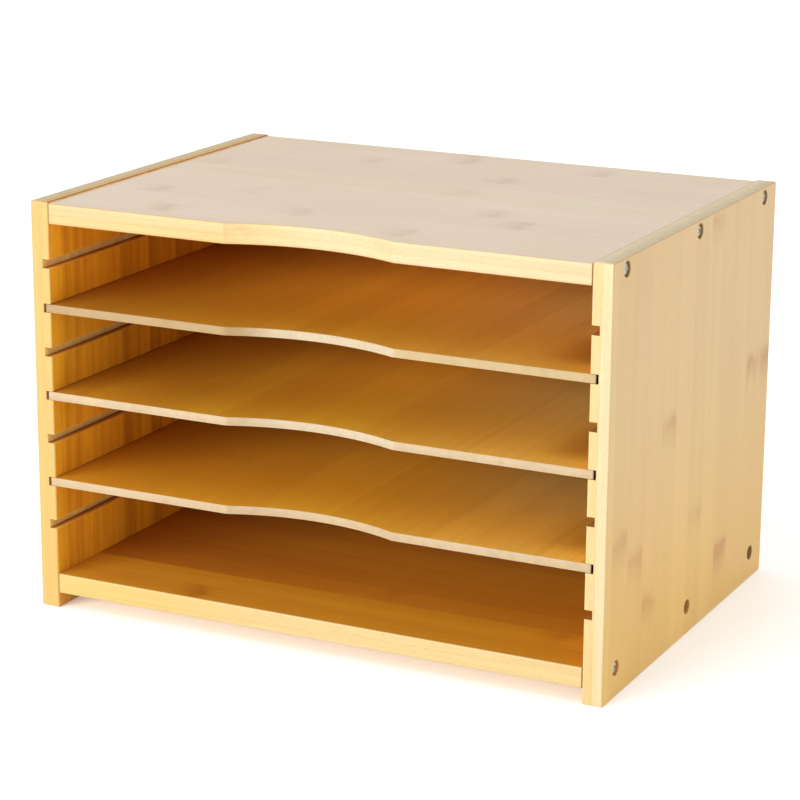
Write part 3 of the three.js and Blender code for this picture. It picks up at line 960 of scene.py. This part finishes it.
def board_choice(low, high):
    """Which of its materials a face of the top or bottom board takes."""

    def choose(face):
        centre, normal = face.center, face.normal
        if abs(normal.z) > ALIGNED and min(centre.z - low.z, high.z - centre.z) < NEAR:
            return BOARD_UPPER if normal.z > 0 else BOARD_LOWER
        in_back_groove = abs(centre.y - BACK_LOW.y) < BACK_GROOVE_REACH
        at_edge = abs(centre.y) > BACK - SCOOP_DEPTH - EASE and not in_back_groove
        if abs(normal.x) > ALIGNED or not at_edge:
            return BOARD_CUT
        return BOARD_REAR if centre.y > 0 else BOARD_FRONT

    return choose


def scooped_outline(half, front, back, corner=0.0):
    """A board seen from above, with a scoop in its front edge and, if asked, round corners."""
    if not corner:
        ends = rectangle(-half, half, front, back)
        return [ends[0]] + scoop(front) + ends[1:]
    ends = rounded_rectangle(-half, half, front, back, corner, SHELF_CORNER_STEPS)
    corner_points = SHELF_CORNER_STEPS + 1
    front_left, others = ends[-corner_points:], ends[:-corner_points]
    return front_left + scoop(front) + others


def top_board():
    low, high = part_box("top_panel")
    middle = (low.z + high.z) / 2
    cutters = [board_back_groove(low.z, 1)]
    cutters += [pilot_hole(name) for name in screw_nodes(row="upper")]
    materials = [
        bamboo(
            "bamboo_top_upper", "xyz", TOP_TAN, TOP_STRIP, 71, TOP_STRIP_OFFSET, start=high.x,
            joints=[TOP_JOINTS, TOP_MORE_JOINTS], spread=0.012, joint=0.66, joint_color=TOP_JOINT,
            roughness=0.55, seam=0.02, coat=0.0, gloss=0.12,
        ),
        # AMBER on the underside is painted bounce light of the bay below
        bamboo("bamboo_top_lower", "xyz", AMBER, BOARD_STRIP, 73, BACK, spread=0.05, coat=0.0),
        edge_grain(
            "bamboo_top_edge", "xzy", TOP_EDGE_LOW, BOARD_LAYER, 75, joint_at=high.x,
            changes=[
                ("z", middle - 2 * BAND_BLEND, middle + 2 * BAND_BLEND, TOP_EDGE_HIGH),
                # painted light on the scoop's left flank
                ("x", *TOP_EDGE_SCOOP, TOP_EDGE_PALE),
                ("x", *TOP_EDGE_MIDDLE, TOP_EDGE_RIGHT),
            ],
        ),
        edge_grain("bamboo_top_cut", "yzx", BORE, BOARD_LAYER, 77),
        edge_grain("bamboo_top_rear_edge", "xzy", REAR_EDGE, BOARD_LAYER, 79, joint_at=high.x),
    ]
    outline = scooped_outline(high.x + END_WASTE, FRONT, BACK)
    butted_board("top_board", "top_panel", outline, cutters, materials)


def bottom_board():
    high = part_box("bottom_panel")[1]
    cutters = [board_back_groove(high.z, -1)]
    cutters += [pilot_hole(name) for name in screw_nodes(row="lower")]
    # painted light on the two front strips, painted shade on the strips behind them
    lit_strips_end = FRONT + 2 * BOARD_STRIP
    shaded_strips = (FLOOR_DARK, [("x", *BOTTOM_ACROSS, FLOOR_RED)])
    materials = [
        bamboo(
            "bamboo_bottom_upper", "xyz", FLOOR_ORANGE, BOARD_STRIP, 81, BACK,
            changes=[
                ("x", *BOTTOM_ACROSS, FLOOR_AMBER),
                ("y", lit_strips_end - BAND_BLEND, lit_strips_end + BAND_BLEND, shaded_strips),
            ],
            tones=FLOOR_TONES, spread=0.06, joint=0.8, joint_color=FLOOR_JOINT, streak=0.14,
            coat=0.0, roughness=0.5,
        ),
        bamboo("bamboo_bottom_lower", "xyz", TAN_LOW, BOARD_STRIP, 83, BACK),
        edge_grain(
            "bamboo_bottom_edge", "xzy", BOTTOM_EDGE_LEFT, BOARD_LAYER, 85,
            changes=[("x", *BOTTOM_EDGE_ACROSS, GOLD)], joint_at=high.x,
        ),
        edge_grain("bamboo_bottom_cut", "yzx", BORE, BOARD_LAYER, 87),
        edge_grain("bamboo_bottom_rear_edge", "xzy", REAR_EDGE, BOARD_LAYER, 89, joint_at=high.x),
    ]
    outline = rectangle(-high.x - END_WASTE, high.x + END_WASTE, FRONT, BACK)
    butted_board("bottom_board", "bottom_panel", outline, cutters, materials)


def back_board():
    depth = BACK_HIGH.y - BACK_LOW.y
    outline = rounded_rectangle(
        BACK_LOW.x, BACK_HIGH.x, BACK_LOW.z, BACK_HIGH.z, SHELF_CORNER, SHELF_CORNER_STEPS
    )
    shape = slab(
        outline, depth, BACK_EASE, BACK_EASE_STEPS, lambda u, v, d: Vector((u, BACK_LOW.y + d, v))
    )
    piece = add_object("back_board", shape)
    material = bamboo("bamboo_back", "xzy", BACK_BOARD, BOARD_STRIP, 91, STRIPS_OUTSIDE)
    finish_piece(piece, "back_panel", "case", [material])


def shelf_board(body, seed, edge_left, edge_middle, edge_right):
    """A shelf. Its front edge has the second colour along the scoop."""
    name = body.removesuffix("_shelf")
    low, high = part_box(f"shelf_{name}")
    outline = scooped_outline(high.x, low.y, high.y, SHELF_CORNER)
    thickness = high.z - low.z
    shape = slab(
        outline, thickness, SHELF_EASE, SHELF_EASE_STEPS, lambda u, v, d: Vector((u, v, low.z + d))
    )
    piece = add_object(f"{body}_board", shape)
    # The face's colours are painted light and shade, scaled for each shelf.
    left_tone, front_tone, deep_tone = SHELF_TONES[name]
    near_colors = SHELF_LEFT, SHELF_FRONT, SHELF_RIGHT, SHELF_RIGHT_CORNER_SHADE
    left, front, right, corner = (Vector(color) * front_tone for color in near_colors)
    deep_colors = SHELF_DEEP_LEFT, SHELF_DEEP, SHELF_DEEP_RIGHT
    deep_left, deep_middle, deep_right = (Vector(color) * deep_tone for color in deep_colors)
    deeper = (
        deep_left * left_tone,
        [("x", *SHELF_DEEP_FROM_LEFT, deep_middle), ("x", *SHELF_TO_RIGHT, deep_right)],
    )
    right_end = (right, [("y", *SHELF_CORNER_IN, corner), ("y", *SHELF_CORNER_OUT, deep_right)])
    materials = [
        bamboo(
            f"bamboo_{body}_face", "yxz", left * left_tone, BOARD_STRIP, seed, STRIPS_OUTSIDE,
            changes=[
                ("x", *SHELF_FROM_LEFT, front), ("x", *SHELF_TO_RIGHT, right),
                ("y", *SHELF_TO_BACK, deeper), ("x", *SHELF_CORNER_ACROSS, right_end),
            ],
            streak=0.12, joint=0.15, coat=0.0, roughness=0.5,
        ),
        end_grain(
            f"bamboo_{body}_edge", edge_left, ("z", SHELF_LAYER), seed + 2,
            changes=[
                ("x", *SHELF_EDGE_SCOOP, edge_middle), ("x", *SHELF_EDGE_SCOOP_END, edge_right),
            ],
        ),
        # painted shadow of the slit beside the shelf's end
        end_grain(f"bamboo_{body}_end", PAINTED_SLIT_SHADE, ("z", SHELF_LAYER), seed + 4),
    ]

    def choose(face):
        if abs(face.normal.z) > ALIGNED:
            return SHELF_FACE
        return SHELF_END if abs(face.normal.x) > ALIGNED else SHELF_RIM

    finish_piece(piece, f"shelf_{name}", body, materials, choose)


def thread_radius(depth, angle):
    """The thread's radius at that depth below the head's top, as it winds round the core."""
    phase = (depth / THREAD_PITCH + angle / (2 * HALF_TURN)) % 1
    tooth = max(0.0, 1 - abs(phase - 0.5) * THREAD_SHARPNESS)
    taper = min(1.0, (SCREW_LENGTH - depth) / SCREW_TIP)
    return (THREAD_CORE + (THREAD_RADIUS - THREAD_CORE) * tooth) * max(taper, THREAD_POINT)


def screw_shape():
    """A pan-head wood screw that points down, with the top of its head at z = 0."""
    angles = [2 * HALF_TURN * i / SCREW_SIDES for i in range(SCREW_SIDES)]
    rings = []

    def ring(depth, radius_at):
        polar = [(radius_at(a), a) for a in angles]
        rings.append([Vector((r * math.cos(a), r * math.sin(a), -depth)) for r, a in polar])

    count = round((SCREW_LENGTH - HEAD_HEIGHT) / THREAD_PITCH * THREAD_ROWS)
    for i in range(count + 1):
        depth = SCREW_LENGTH - (SCREW_LENGTH - HEAD_HEIGHT) * i / count
        ring(depth, lambda a, d=depth: thread_radius(d, a))
    ring(HEAD_HEIGHT, lambda a: HEAD_RADIUS - HEAD_BEVEL)
    ring(HEAD_HEIGHT - HEAD_BEVEL, lambda a: HEAD_RADIUS)
    rise = HEAD_HEIGHT - HEAD_RIM
    for i in range(HEAD_STEPS):
        angle = QUARTER_TURN * i / HEAD_STEPS
        ring(rise * (1 - math.sin(angle)), lambda a, t=angle: HEAD_RADIUS * math.cos(t))
    return loft(rings)


def cross_cutter():
    """The cross recess, narrower at its bottom."""

    def plus_sign(length, width, depth):
        half, arm = length / 2, width / 2
        corners = [(half, -arm), (half, arm), (arm, arm), (arm, half), (-arm, half), (-arm, arm)]
        corners += [(-x, -y) for x, y in corners]
        return [Vector((x, y, -depth)) for x, y in corners]

    shorter, thinner = CROSS_TAPER
    top = plus_sign(CROSS_LENGTH, CROSS_WIDTH, -CROSS_OVERSHOOT)
    bottom = plus_sign(CROSS_LENGTH * shorter, CROSS_WIDTH * thinner, CROSS_DEPTH)
    return loft([bottom, top])


def screws():
    """All the screws, each turned to its own angle as it would be after driving."""
    master = add_object("screw_master", screw_shape())
    carve(master, [cross_cutter()])
    material = zinc("zinc_plate")
    for i, node in enumerate(screw_nodes()):
        side, head_x, y, z = screw_axis(node)
        piece = link(node.replace("screw", "wood_screw"), master.data.copy())
        turn = Matrix.Rotation(math.radians(FIRST_SCREW_TURN + SCREW_TURN * i), 4, "Z")
        aim = Matrix.Rotation(side * QUARTER_TURN, 4, "Y")
        piece.matrix_world = Matrix.Translation((side * head_x, y, z)) @ aim @ turn
        finish_piece(piece, node, "case", [material], sharp=40)
    bpy.data.meshes.remove(master.data)


# ---- Studio ----

CAMERA_AIM = Vector((-0.00453, -0.00347, 0.10847))
CAMERA_AZIMUTH = 26.254
CAMERA_ELEVATION = 15.416
CAMERA_ROLL = 0.381
CAMERA_DISTANCE = 1.45978
CAMERA_LENS = 119.69
SENSOR_WIDTH = 36
CLIP_START = 0.05

LIGHT_AZIMUTH = -24
LIGHT_ELEVATION = 12.5
LIGHT_DISTANCE = 2.4
LIGHT_WIDTH = 1.8
LIGHT_HEIGHT = 0.5
LIGHT_WATTS = 63
FLOOR_RADIUS = 12
FLOOR_SIDES = 96


def from_aim(azimuth, elevation, distance):
    """A place seen from the camera's aim at that azimuth and elevation, in degrees."""
    a, e = math.radians(azimuth), math.radians(elevation)
    direction = Vector((math.sin(a) * math.cos(e), -math.cos(a) * math.cos(e), math.sin(e)))
    return CAMERA_AIM + distance * direction


def looking(place, target, roll=0.0):
    """The matrix of a camera or light at a place, turned to a target."""
    turn = (target - place).to_track_quat("-Z", "Y").to_matrix().to_4x4()
    return Matrix.Translation(place) @ turn @ Matrix.Rotation(math.radians(roll), 4, "Z")


def camera():
    lens = bpy.data.cameras.new("camera")
    lens.lens = CAMERA_LENS
    lens.sensor_width = SENSOR_WIDTH
    lens.clip_start = CLIP_START
    eye = link("camera", lens)
    place = from_aim(CAMERA_AZIMUTH, CAMERA_ELEVATION, CAMERA_DISTANCE)
    eye.matrix_world = looking(place, CAMERA_AIM, CAMERA_ROLL)
    bpy.context.scene.camera = eye


def soft_light():
    lamp = bpy.data.lights.new("front_light", "AREA")
    lamp.shape = "RECTANGLE"
    lamp.size = LIGHT_WIDTH
    lamp.size_y = LIGHT_HEIGHT
    lamp.energy = LIGHT_WATTS
    place = from_aim(LIGHT_AZIMUTH, LIGHT_ELEVATION, LIGHT_DISTANCE)
    link("front_light", lamp).matrix_world = looking(place, CAMERA_AIM)


def studio():
    floor_shape = bmesh.new()
    bmesh.ops.create_circle(floor_shape, cap_ends=True, segments=FLOOR_SIDES, radius=FLOOR_RADIUS)
    floor = add_object("studio_floor", floor_shape)
    floor.data.materials.append(paper_white("studio_white"))
    world = bpy.data.worlds.new("studio")
    world.use_nodes = True
    sky = world.node_tree.nodes["Background"].inputs
    sky["Color"].default_value = (*WHITE, 1)
    sky["Strength"].default_value = 1.0
    scene = bpy.context.scene
    scene.world = world
    scene.view_settings.view_transform = "Standard"
    soft_light()


camera()
studio()
for side in (-1, 1):
    side_panel(side)
top_board()
bottom_board()
back_board()
# The middle edge colour runs along the scoop; SHELF_EDGE_PALE there is a painted highlight.
shelf_board("lower_shelf", 101, SHELF_EDGE, SHELF_EDGE, SHELF_EDGE)
shelf_board("middle_shelf", 111, SHELF_EDGE, SHELF_EDGE_PALE, SHELF_EDGE)
shelf_board("upper_shelf", 121, SHELF_EDGE_DARK, SHELF_EDGE_PALE, SHELF_EDGE_TAN)
screws()
